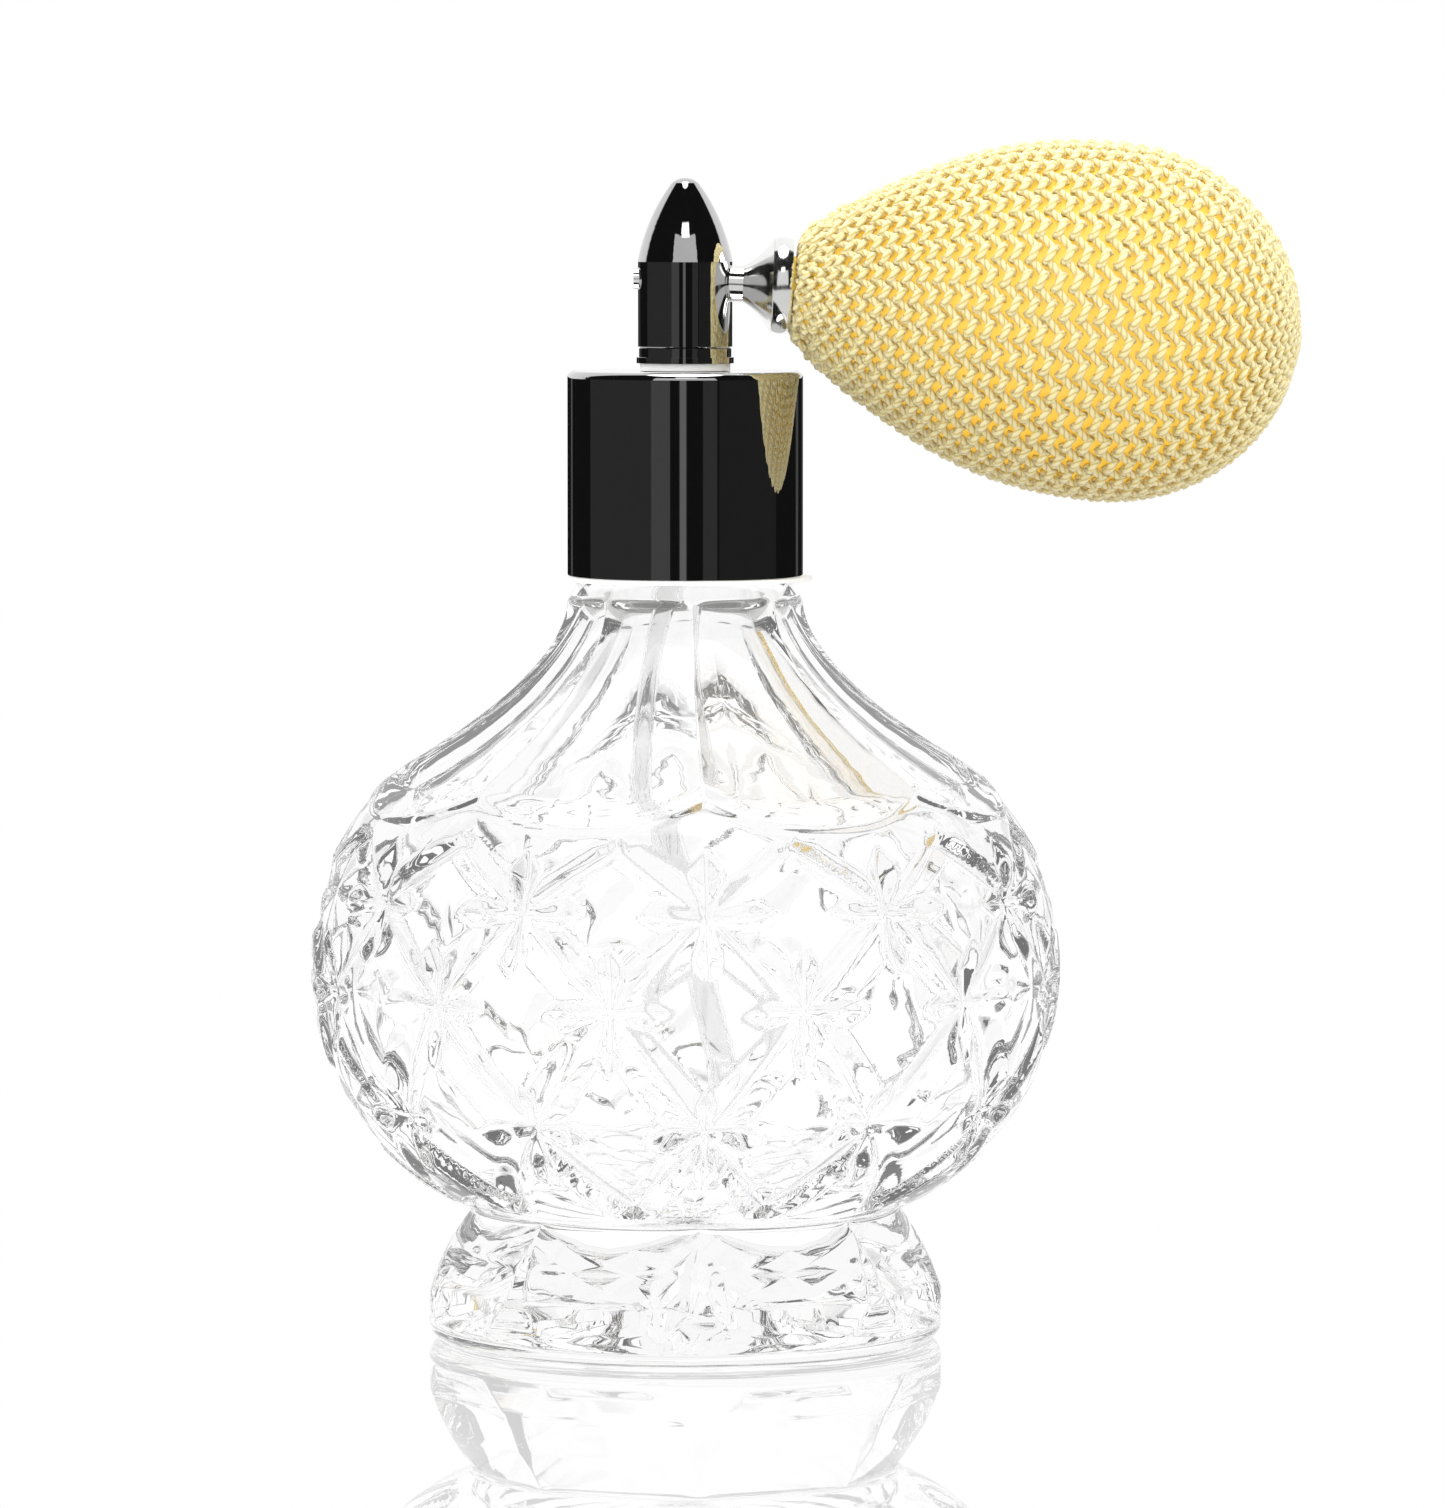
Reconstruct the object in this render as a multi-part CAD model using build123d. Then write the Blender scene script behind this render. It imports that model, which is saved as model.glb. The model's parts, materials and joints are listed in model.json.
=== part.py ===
from build123d import *
import math
import os

# Bulb perfume atomiser. Millimetres, +Z up the bottle's axis, +X towards the bulb.
# The origin is the centre of the foot's resting plane.

os.makedirs("parts", exist_ok=True)

# ---------------------------------------------------------------- driving dimensions
# Bottle, outside
FOOT_R = 26.2
FOOT_EDGE_Z = 2.4  # top of the foot's rounded lower edge
FOOT_TOP_Z = 5.1  # top of the foot's upright band
FOOT_EDGE = (FOOT_R - 1.4, 0)  # (radius, height) where the foot's edge starts to round up
FOOT_EDGE_MID = (FOOT_R - 0.35, 0.7)
COVE_MID = (24.4, 9.4)  # each MID is the middle point of an arc of the outline
WAIST = (21.8, 13.5)
UNDER_MID = (33.4, 22.3)
BELLY_Z = 38.6  # height of the widest place
BELLY = (38.6, BELLY_Z)
BELLY_MID = (36.7, 47.9)
SHOULDER = (31.8, 55.6)  # where the belly turns in to the fluted shoulder
SHOULDER_MID = (19.7, 64.8)
NECK_BASE = (12.0, 75.5)  # top of the shoulder's ridges
NECK_BAND_R = 10.9  # plain band of glass that the collar comes down over
NECK_BAND_Z0 = 77.5
NECK_BAND_Z1 = 79.2
LIP_Z = 95.6
FLUTES = 8
FLUTE_R = 8.0  # radius of the wheel that cut each flute
FLUTE_DEPTH = 1.6
FLUTE_PHASE = 3.6  # degrees from the bottle's +X
# Bottle, inside
CAVITY_FLOOR = (16.0, 17.5)  # edge of the flat floor
CAVITY_UNDER_MID = (28.6, 24.4)
CAVITY_WIDEST = (33.4, BELLY_Z)
CAVITY_BELLY_MID = (31.6, 47.0)
CAVITY_SHOULDER = (26.4, 54.6)
CAVITY_SHOULDER_MID = (14.6, 64.6)
NECK_BORE_R = 7.2
# Screw thread, 20 mm neck finish, right hand
PITCH = 3.175
NECK_ROOT_R = 8.8
NECK_CREST_R = 9.8
LINER_ROOT_R = 10.1
LINER_CREST_R = 9.1
NECK_THREAD_Z = 84.6  # middle of the neck's thread where it starts
NECK_TURNS = 1.5
LINER_TURNS = 1.25
RIDGE_FOOT = 1.3  # width of each thread ridge at its foot
RIDGE_CREST = 0.7  # and at its crest
BURIED = 0.15  # depth that a ridge is let into its wall
# Collar
COLLAR_R = 12.0
COLLAR_Z0 = 78.0
COLLAR_Z1 = 98.9
SKIN = 0.6  # thickness of the collar's metal skin
COLLAR_EDGE = 0.7  # rounding of the collar's top edge
LINER_Z0 = 79.8  # bottom of the liner's threaded part
LINER_SKIRT_R = 11.0  # bore of its thin skirt round the glass band
LINER_FLANGE_R = 12.9  # thin flange that shows under the metal shell
LINER_FLANGE_T = 0.4
LINER_Z1 = COLLAR_Z1 - SKIN
COLLAR_HOLE_R = 4.05
# Closure held down by the collar
GASKET_T = 1.0
FLANGE_R = 9.4
FLANGE_T = 1.0
BOSS_R = 4.0
BOSS_Z1 = 99.2
HOUSING_R = 2.45
HOUSING_Z0 = 86.0
SOCKET_R = 2.65  # bore that the head's stem turns in
SOCKET_Z0 = 94.4
TUBE_R = 1.6
TUBE_BORE_R = 1.1
TUBE_TOP_Z = 91.5
FEED_R = 0.8
FEED_BORE_R = 0.4
RUN_GAP = 0.05  # radial clearance of every running fit
# Dip tube's line in the XZ plane, from the housing down
TUBE_LINE = [(0, TUBE_TOP_Z), (0, 81.4), (-2.9, 71.5), (-3.3, 56.0), (3.9, 28.0), (4.2, 20.8)]
TUBE_BENDS = [30, 40, 60, 55]
# Spray head
HEAD_R = 4.8
HEAD_Z0 = 99.7
BASE_FLANGE_R = 4.95
BASE_FLANGE_Z1 = 100.3
BASE_BAND_R = 4.7
BASE_BAND_Z1 = 101.2
HEAD_SHOULDER_Z = 110.0
HEAD_TIP_Z = 118.5
HEAD_BORE_R = 3.9
HEAD_BORE_Z1 = 112.4
STEM_R = 2.6
STEM_Z0 = 95.4
SEAL_Z = 97.2
SEAL_R = 0.5  # half the height of the stem's seal groove
GROOVE_R = STEM_R - 0.75  # radius at the bottom of that groove
SEAL_GAP = 0.01  # room between the seal and the socket's bore
CORE_TOP_Z = 109.2
FEED_TOP_Z = 106.6  # top of the feed tube's seat in the core
NOZZLE_Z = 108.3
NOZZLE_R = 1.1
NOZZLE_REACH = 5.25  # how far the nozzle stands from the head's axis
NOZZLE_LENGTH = 3.45
ORIFICE_R = 0.25
DISH_R = 0.7
DISH_DEPTH = 0.85
OGIVE_POINTS = [(4.2, 112.5), (2.95, 115.5)]  # (radius, height) up the head's pointed top
NOSE = (1.35, HEAD_TIP_Z - 0.5)  # where the small rounded tip starts
PORT_Z = 108.0
# Cone, ring and air tube on the bulb's side
CONE_X0 = HEAD_R - 0.15
CONE_NECK_R = 1.85
CONE_NECK_X1 = 5.9
CONE_R = 4.95
CONE_EDGE = 0.1  # how far the cone's rim stands inside the ring's largest radius
CONE_WALL = 0.5
CONE_MID = (3.05, 7.5)  # (radius, distance from the head's axis) in the middle of the flare
CONE_INSIDE_MID = (2.62, 7.75)
CONE_PLUG = 0.75  # depth of the cone's neck in the core
CONE_X1 = 8.9
RING_X1 = 10.9
CONE_DROOP = 2.5  # degrees below level
BULB_DROOP = 6.4
AIR_R = 1.3
AIR_BORE_R = 0.75
# Bulb, along its own axis from the ring's face
BULB_LENGTH = 52.1
BULB_R = 18.15
BULB_WIDEST = 32.5
BULB_MOUTH_R = 5.9
BULB_POINTS = [(10.6, 8.0), (15.5, 17.2)]  # (radius, distance from the ring) on the way to the widest place
NET_T = 0.8  # thickness of the knitted net
NET_GAP = 0.3  # room between the net and the rubber
RUBBER_T = 1.6
BLADDER_NECK_R = 3.0
CLAMP_R = 3.5
SLEEVE_R = 3.95  # gathered end of the net inside the ring
RING_BORE_R = 4.15
VALVE_R = 2.4  # intake valve plug in the bulb's far end
VALVE_LENGTH = 3.0
VALVE_LIP = 0.6  # lip that keeps the disc in
VALVE_SEAT = 1.4  # depth of the disc's seat below the plug's outer face
DISC_R = 1.7
DISC_T = 0.4


# ---------------------------------------------------------------- helpers
def turned(edges, axis=Axis.Z):
    """A solid turned from a closed outline of edges in the XZ plane."""
    return revolve(make_face(edges), axis=axis)


def arc(start, middle, end):
    """An arc through three (radius, height) points in the XZ plane."""
    return ThreePointArc(*[(r, 0, z) for r, z in (start, middle, end)])


def chain(*points):
    """Straight lines through (radius, height) points in the XZ plane."""
    return Polyline(*[(r, 0, z) for r, z in points])


def outline(*points):
    """A closed outline through (radius, height) points in the XZ plane."""
    return Polyline(*[(r, 0, z) for r, z in points], close=True)


def ring(r_out, r_in, z0, z1):
    """A plain ring about the Z axis."""
    return turned(outline((r_in, z0), (r_out, z0), (r_out, z1), (r_in, z1)))


def disc(r, z0, z1):
    """A plain round bar about the Z axis."""
    return turned(outline((0, z0), (r, z0), (r, z1), (0, z1)))


def along(x, z, droop):
    """Stands a solid that was made about Z on the point (x, z), pointing to +X and down by droop degrees."""
    return Pos(x, 0, z) * Rot(0, 90 + droop, 0)


CONE_PLACE = along(0, PORT_Z, CONE_DROOP)
BULB_X = RING_X1 * math.cos(math.radians(CONE_DROOP))
BULB_Z = PORT_Z - RING_X1 * math.sin(math.radians(CONE_DROOP))
BULB_PLACE = along(BULB_X, BULB_Z, BULB_DROOP)


def save(name, shape):
    """Writes one sub-part to its own STEP file."""
    shape.label = name
    export_step(shape, f"parts/{name}.step")
    print(f"{name}: {shape.volume:.1f} mm3")


# ---------------------------------------------------------------- bottle
def thread_ridge(foot_r, crest_r, z, turns, start):
    """A trapezoidal ridge on a right-hand helix. foot_r is where it stands, crest_r where it ends."""
    path = Helix(pitch=PITCH, height=PITCH * turns, radius=foot_r)
    half_foot, half_crest = RIDGE_FOOT / 2, RIDGE_CREST / 2
    section = make_face(
        Polyline(
            (foot_r, 0, -half_foot),
            (crest_r, 0, -half_crest),
            (crest_r, 0, half_crest),
            (foot_r, 0, half_foot),
            close=True,
        )
    )
    return Pos(0, 0, z) * Rot(0, 0, start) * sweep(section, path=path, is_frenet=True)


def bottle_outside():
    top_of_band = (FOOT_R, FOOT_TOP_Z)
    foot = chain((0, 0), FOOT_EDGE)
    edge = arc(FOOT_EDGE, FOOT_EDGE_MID, (FOOT_R, FOOT_EDGE_Z))
    band = chain((FOOT_R, FOOT_EDGE_Z), top_of_band)
    cove = arc(top_of_band, COVE_MID, WAIST)
    under = arc(WAIST, UNDER_MID, BELLY)
    belly = arc(BELLY, BELLY_MID, SHOULDER)
    shoulder = arc(SHOULDER, SHOULDER_MID, NECK_BASE)
    neck = chain(
        NECK_BASE,
        (NECK_BAND_R, NECK_BAND_Z0),
        (NECK_BAND_R, NECK_BAND_Z1),
        (NECK_ROOT_R, NECK_BAND_Z1),
        (NECK_ROOT_R, LIP_Z),
        (0, LIP_Z),
        (0, 0),
    )
    return turned([foot, edge, band, cove, under, belly, shoulder, neck])


def bottle_cavity():
    top = LIP_Z + 1
    bore_foot = (NECK_BORE_R, NECK_BASE[1])
    floor = chain((0, CAVITY_FLOOR[1]), CAVITY_FLOOR)
    lower = arc(CAVITY_FLOOR, CAVITY_UNDER_MID, CAVITY_WIDEST)
    upper = arc(CAVITY_WIDEST, CAVITY_BELLY_MID, CAVITY_SHOULDER)
    shoulder = arc(CAVITY_SHOULDER, CAVITY_SHOULDER_MID, bore_foot)
    bore = chain(bore_foot, (NECK_BORE_R, top), (0, top), (0, CAVITY_FLOOR[1]))
    return turned([floor, lower, upper, shoulder, bore])


def shoulder_flute():
    """The cut of one flute: a wheel of FLUTE_R led along the shoulder's curve."""
    lift = (FLUTE_R - FLUTE_DEPTH) / math.sqrt(2)
    path = arc(
        (SHOULDER[0] + lift - 1.0, SHOULDER[1] + lift - 2.2),
        (SHOULDER_MID[0] + lift, SHOULDER_MID[1] + lift),
        (NECK_BASE[0] + lift + 0.4, NECK_BASE[1] + lift - 1.0),
    )
    wheel = Plane(origin=path @ 0, z_dir=path % 0) * Circle(FLUTE_R)
    return sweep(wheel, path=path)


def glass_parts():
    """One glass in two nodes: foot with belly, and fluted shoulder with threaded neck."""
    bottle = bottle_outside() - bottle_cavity()
    flute = shoulder_flute()
    for i in range(FLUTES):
        bottle -= Rot(0, 0, FLUTE_PHASE + (i + 0.5) * 360 / FLUTES) * flute
    bottle += thread_ridge(NECK_ROOT_R - BURIED, NECK_CREST_R, NECK_THREAD_Z, NECK_TURNS, 0)
    level = Plane.XY.offset(SHOULDER[1])
    return split(bottle, level, keep=Keep.BOTTOM), split(bottle, level, keep=Keep.TOP)


# ---------------------------------------------------------------- collar
def collar_shell():
    inner = COLLAR_R - SKIN
    side_top = (COLLAR_R, COLLAR_Z1 - COLLAR_EDGE)
    rim = (COLLAR_R - COLLAR_EDGE, COLLAR_Z1)
    inset = COLLAR_EDGE * (1 - math.sqrt(0.5))
    side = chain(
        (COLLAR_HOLE_R, COLLAR_Z1),
        (COLLAR_HOLE_R, LINER_Z1),
        (inner, LINER_Z1),
        (inner, COLLAR_Z0),
        (COLLAR_R, COLLAR_Z0),
        side_top,
    )
    turn = arc(side_top, (COLLAR_R - inset, COLLAR_Z1 - inset), rim)
    top = chain(rim, (COLLAR_HOLE_R, COLLAR_Z1))
    return turned([side, turn, top])


def collar_liner():
    """Threaded plastic lining, with a skirt round the glass band and a thin flange under the shell."""
    web_z = LIP_Z + GASKET_T + FLANGE_T + RUN_GAP
    outer = COLLAR_R - SKIN
    cup = turned(
        outline(
            (LINER_SKIRT_R, COLLAR_Z0 - LINER_FLANGE_T),
            (LINER_FLANGE_R, COLLAR_Z0 - LINER_FLANGE_T),
            (LINER_FLANGE_R, COLLAR_Z0),
            (outer, COLLAR_Z0),
            (outer, LINER_Z1),
            (COLLAR_HOLE_R, LINER_Z1),
            (COLLAR_HOLE_R, web_z),
            (LINER_ROOT_R, web_z),
            (LINER_ROOT_R, LINER_Z0),
            (LINER_SKIRT_R, LINER_Z0),
        )
    )
    start = 90
    z = NECK_THREAD_Z + PITCH * (start / 360 - 0.5)
    return cup + thread_ridge(LINER_ROOT_R + BURIED, LINER_CREST_R, z, LINER_TURNS, start)


# ---------------------------------------------------------------- closure held in the neck
def neck_gasket():
    return ring(FLANGE_R, NECK_BORE_R, LIP_Z, LIP_Z + GASKET_T)


def valve_housing():
    flange_z = LIP_Z + GASKET_T
    return turned(
        outline(
            (TUBE_R, HOUSING_Z0),
            (HOUSING_R, HOUSING_Z0),
            (HOUSING_R, SOCKET_Z0 - 1.6),
            (BOSS_R, SOCKET_Z0),
            (BOSS_R, flange_z),
            (FLANGE_R, flange_z),
            (FLANGE_R, flange_z + FLANGE_T),
            (BOSS_R, flange_z + FLANGE_T),
            (BOSS_R, BOSS_Z1),
            (SOCKET_R, BOSS_Z1),
            (SOCKET_R, SOCKET_Z0),
            (FEED_R + RUN_GAP, SOCKET_Z0),
            (FEED_R + RUN_GAP, TUBE_TOP_Z),
            (TUBE_R, TUBE_TOP_Z),
        )
    )


def dip_tube():
    """Clear tube with a lasting curve from the reel, cut square at its foot."""
    path = FilletPolyline(*[(x, 0, z) for x, z in TUBE_LINE], radius=TUBE_BENDS)
    section = Plane(origin=path @ 0, z_dir=path % 0) * (Circle(TUBE_R) - Circle(TUBE_BORE_R))
    return sweep(section, path=path)


# ---------------------------------------------------------------- spray head
def head_shell():
    """Deep-drawn cap: straight side, ogive top, open below, with ports for nozzle and air."""
    shoulder = (HEAD_R, HEAD_SHOULDER_Z)
    side = chain(
        (0, HEAD_BORE_Z1),
        (HEAD_BORE_R - 1.6, HEAD_BORE_Z1),
        (HEAD_BORE_R, HEAD_BORE_Z1 - 1.8),
        (HEAD_BORE_R, BASE_BAND_Z1),
        (HEAD_R - 0.2, BASE_BAND_Z1),
        (HEAD_R, BASE_BAND_Z1 + 0.2),
        shoulder,
    )
    ogive = Spline([(r, 0, z) for r, z in (shoulder, *OGIVE_POINTS, NOSE)])
    tip = Spline((NOSE[0], 0, NOSE[1]), (0, 0, HEAD_TIP_Z), tangents=[(-0.75, 0, 0.66), (-1, 0, 0)])
    axis = chain((0, HEAD_TIP_Z), (0, HEAD_BORE_Z1))
    shell = turned([side, ogive, tip, axis])
    nozzle_port = Pos(-HEAD_R, 0, NOZZLE_Z) * Rot(0, 90, 0) * Cylinder(NOZZLE_R, 4)
    air_port = CONE_PLACE * Pos(0, 0, HEAD_R) * Cylinder(CONE_NECK_R, 4)
    return shell - nozzle_port - air_port


def base_ring():
    return turned(
        outline(
            (HEAD_BORE_R, HEAD_Z0 + 0.6),
            (BOSS_R + RUN_GAP, HEAD_Z0 + 0.6),
            (BOSS_R + RUN_GAP, HEAD_Z0),
            (BASE_FLANGE_R, HEAD_Z0),
            (BASE_FLANGE_R, BASE_FLANGE_Z1),
            (BASE_BAND_R, BASE_FLANGE_Z1),
            (BASE_BAND_R, BASE_BAND_Z1),
            (HEAD_BORE_R, BASE_BAND_Z1),
        )
    )


def swivel_washer():
    return ring(4.6, BOSS_R + RUN_GAP, COLLAR_Z1 + RUN_GAP, HEAD_Z0)


def head_core():
    """Moulded core: a stem that turns in the housing, with the liquid way up and the air way across."""
    core_z0 = BOSS_Z1 + 0.15
    body = turned(
        outline(
            (FEED_R, STEM_Z0),
            (STEM_R, STEM_Z0),
            (STEM_R, SEAL_Z - SEAL_R),
            (GROOVE_R, SEAL_Z - SEAL_R),
            (GROOVE_R, SEAL_Z + SEAL_R),
            (STEM_R, SEAL_Z + SEAL_R),
            (STEM_R, core_z0),
            (HEAD_BORE_R, core_z0),
            (HEAD_BORE_R, CORE_TOP_Z),
            (0, CORE_TOP_Z),
            (0, FEED_TOP_Z),
            (FEED_R, FEED_TOP_Z),
        )
    )
    liquid_way = disc(FEED_BORE_R, FEED_TOP_Z - 0.6, NOZZLE_Z)
    nozzle_bore = Pos(-3.4, 0, NOZZLE_Z) * Rot(0, 90, 0) * Cylinder(NOZZLE_R, 3.2)
    spray_way = Pos(-1.4, 0, NOZZLE_Z) * Rot(0, 90, 0) * Cylinder(FEED_BORE_R, 3.2)
    air_bore = CONE_PLACE * Pos(0, 0, 3.5) * Cylinder(AIR_R, 3.4)
    air_way = CONE_PLACE * Pos(0, 0, 1.2) * Cylinder(AIR_BORE_R, 2.8)
    cone_seat = CONE_PLACE * disc(CONE_NECK_R, CONE_X0 - CONE_PLUG, CONE_X0 + 1)
    return body - liquid_way - nozzle_bore - spray_way - air_bore - air_way - cone_seat


def stem_seal():
    band = (SOCKET_R - SEAL_GAP - GROOVE_R) / 2
    return Pos(0, 0, SEAL_Z) * Torus(GROOVE_R + band, band)


def feed_tube():
    return ring(FEED_R, FEED_BORE_R, TUBE_TOP_Z + 0.4, FEED_TOP_Z)


def nozzle_insert():
    """Spray tip with a stepped bore that ends in a fine orifice and a dished face."""
    body = turned(
        outline(
            (ORIFICE_R, 0),
            (ORIFICE_R, NOZZLE_LENGTH - DISH_DEPTH),
            (DISH_R, NOZZLE_LENGTH),
            (NOZZLE_R, NOZZLE_LENGTH),
            (NOZZLE_R, 0),
        )
    )
    return Pos(NOZZLE_LENGTH - NOZZLE_REACH, 0, NOZZLE_Z) * Rot(0, -90, 0) * body


# ---------------------------------------------------------------- cone and air tube
def bulb_cone():
    """Hollow cone with a short neck that plugs into the head, turned about its own axis."""
    rim_r = CONE_R - CONE_EDGE
    plug_z = CONE_X0 - CONE_PLUG
    bore_z = CONE_NECK_X1 + 0.35
    neck = chain((AIR_R, plug_z), (CONE_NECK_R, plug_z), (CONE_NECK_R, CONE_NECK_X1))
    flare = arc((CONE_NECK_R, CONE_NECK_X1), CONE_MID, (rim_r, CONE_X1))
    mouth = chain((rim_r, CONE_X1), (rim_r - CONE_WALL, CONE_X1))
    inside = arc((rim_r - CONE_WALL, CONE_X1), CONE_INSIDE_MID, (AIR_R, bore_z))
    bore = chain((AIR_R, bore_z), (AIR_R, plug_z))
    return CONE_PLACE * turned([neck, flare, mouth, inside, bore])


def ferrule_ring():
    """Rounded ring at the cone's mouth; the gathered net and the bladder's neck go into it."""
    edge_r = CONE_R - 0.25
    back = chain((RING_BORE_R, RING_X1), (RING_BORE_R, CONE_X1), (edge_r, CONE_X1))
    face = arc((edge_r, CONE_X1), (CONE_R, (CONE_X1 + RING_X1) / 2), (edge_r, RING_X1))
    front = chain((edge_r, RING_X1), (RING_BORE_R, RING_X1))
    return CONE_PLACE * turned([back, face, front])


def barb_tube():
    """Air tube along the cone, with a barbed end in the bladder's neck."""
    end = RING_X1 + 4.0
    return CONE_PLACE * turned(
        outline(
            (AIR_BORE_R, 1.9),
            (AIR_R, 1.9),
            (AIR_R, end - 2.4),
            (AIR_R + 0.5, end - 2.0),
            (AIR_R, end),
            (AIR_BORE_R, end),
        )
    )


# ---------------------------------------------------------------- bulb
def bulb_solid(inset, start):
    """The bulb's form about Z from height start to its tip, with its side inset from the net's outside."""
    widest_r = BULB_R - inset
    nose_length = BULB_LENGTH - inset - BULB_WIDEST
    mouth_r = BULB_MOUTH_R - inset
    side = Spline(
        (mouth_r, 0, start),
        *[(r - inset, 0, z) for r, z in BULB_POINTS],
        (widest_r, 0, BULB_WIDEST),
        tangents=[(0.62, 0, 1), (0, 0, 1)],
    )
    steps = [math.radians(a) for a in (0, 22.5, 45, 67.5, 90)]
    nose = Spline(
        [(widest_r * math.cos(a), 0, BULB_WIDEST + nose_length * math.sin(a)) for a in steps],
        tangents=[(0, 0, 1), (-1, 0, 0)],
    )
    axis = Polyline((0, 0, BULB_LENGTH - inset), (0, 0, start), (mouth_r, 0, start))
    return turned([side, nose, axis])


def knit_cover():
    """Net over the bulb as one thin skin, gathered into a sleeve inside the ring."""
    shell = bulb_solid(0, 0.35) - bulb_solid(NET_T, 0.75)
    mouth = disc(CLAMP_R + 0.1, 0, 1)
    sleeve = ring(SLEEVE_R, CLAMP_R + 0.1, -1.5, 0.5)
    return BULB_PLACE * (shell - mouth + sleeve)


def bladder():
    """Rubber bulb about Z: a neck on the barb, a hollow body and a hole for the valve at the tip."""
    outer = NET_T + NET_GAP
    skin = bulb_solid(outer, 1.05) - bulb_solid(outer + RUBBER_T, 3.2)
    neck = disc(BLADDER_NECK_R, -1.6, 4.6)
    barb = disc(AIR_R + 0.8, -1.7, 5.0)
    valve = disc(VALVE_R, BULB_LENGTH - 12, BULB_LENGTH)
    return skin + neck - barb - valve


def bladder_half(sign):
    """The bladder's upper (+1) or lower (-1) half, cut a little off the mid plane."""
    cut = 0.05
    block = Pos(-sign * (20 + cut), 0, 25) * Box(40, 60, 90)
    return BULB_PLACE * (bladder() & block)


def neck_clamp():
    """Narrow metal band that holds the bladder's neck on the barb."""
    return BULB_PLACE * ring(CLAMP_R, BLADDER_NECK_R, -1.4, -0.2)


def valve_face_z():
    """Height of the intake valve's outer face along the bulb, just inside the net."""
    return BULB_LENGTH - NET_T - NET_GAP - RUBBER_T + 0.9


def intake_valve_body():
    """Cup in the bladder's tip: an outside hole, a flat seat and a room for the disc."""
    outer = valve_face_z()
    inner = outer - VALVE_LENGTH
    seat = outer - VALVE_SEAT
    room_r = DISC_R + RUN_GAP
    lip = inner + VALVE_LIP
    plug = turned(
        outline(
            (0.6, outer),
            (VALVE_R, outer),
            (VALVE_R, inner),
            (1.0, inner),
            (1.0, lip),
            (room_r, lip),
            (room_r, seat),
            (0.6, seat),
        )
    )
    for i in range(4):
        plug -= Rot(0, 0, 90 * i) * Pos(room_r, 0, 0) * disc(0.3, inner - 1, seat - 0.3)
    return BULB_PLACE * plug


def intake_valve_disc():
    """Loose rubber disc that lies on the seat and lifts inwards."""
    seat = valve_face_z() - VALVE_SEAT - 0.01
    return BULB_PLACE * disc(DISC_R, seat - DISC_T, seat)


# ---------------------------------------------------------------- write the sub-parts
glass_belly, glass_neck = glass_parts()
save("glass_bottle", glass_belly)
save("glass_shoulder", glass_neck)
save("collar_shell", collar_shell())
save("collar_liner", collar_liner())
save("neck_gasket", neck_gasket())
save("valve_housing", valve_housing())
save("dip_tube", dip_tube())
save("head_shell", head_shell())
save("base_ring", base_ring())
save("swivel_washer", swivel_washer())
save("head_core", head_core())
save("stem_seal", stem_seal())
save("feed_tube", feed_tube())
save("nozzle_insert", nozzle_insert())
save("bulb_cone", bulb_cone())
save("ferrule_ring", ferrule_ring())
save("barb_tube", barb_tube())
save("neck_clamp", neck_clamp())
save("knit_cover", knit_cover())
save("bladder_upper", bladder_half(1))
save("bladder_lower", bladder_half(-1))
save("intake_valve_body", intake_valve_body())
save("intake_valve_disc", intake_valve_disc())
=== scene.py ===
import json
import math

import bpy
import numpy as np
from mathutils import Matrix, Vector


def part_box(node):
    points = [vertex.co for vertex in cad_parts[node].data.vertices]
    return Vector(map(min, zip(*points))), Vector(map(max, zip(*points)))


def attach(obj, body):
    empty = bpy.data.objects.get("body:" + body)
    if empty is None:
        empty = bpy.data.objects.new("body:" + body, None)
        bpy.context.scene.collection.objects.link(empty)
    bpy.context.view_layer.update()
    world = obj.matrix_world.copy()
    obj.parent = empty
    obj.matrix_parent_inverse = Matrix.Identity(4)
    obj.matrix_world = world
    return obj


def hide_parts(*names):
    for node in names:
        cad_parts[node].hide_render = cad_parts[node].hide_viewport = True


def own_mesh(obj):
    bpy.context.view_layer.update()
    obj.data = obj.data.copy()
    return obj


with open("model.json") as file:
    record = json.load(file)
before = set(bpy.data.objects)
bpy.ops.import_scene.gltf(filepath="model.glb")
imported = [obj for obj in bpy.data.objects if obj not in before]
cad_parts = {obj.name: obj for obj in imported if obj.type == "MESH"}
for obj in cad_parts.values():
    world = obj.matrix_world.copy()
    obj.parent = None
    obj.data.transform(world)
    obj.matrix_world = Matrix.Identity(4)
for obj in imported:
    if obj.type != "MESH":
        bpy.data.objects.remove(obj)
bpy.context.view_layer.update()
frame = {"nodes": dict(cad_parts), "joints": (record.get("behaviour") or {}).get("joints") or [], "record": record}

# A bulb perfume atomiser: cut-glass bottle, dark mirror-chrome collar and spray head, bright cone,
# and a knitted net over a yellow rubber bulb. Shapes are worked out in millimetres and made in metres.

MM = 0.001


# ---------------------------------------------------------------- places read from the frame
def box_mm(node):
    """Lowest and highest corner of a CAD node, in millimetres."""
    low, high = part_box(node)
    return np.array(low) / MM, np.array(high) / MM


def joint(name):
    return [j for j in frame["joints"] if j["name"] == name][0]


GLASS_NODES = [name for name in frame["nodes"] if name.startswith("glass_")]
RING_LOW, RING_HIGH = box_mm("ferrule_ring")

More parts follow.
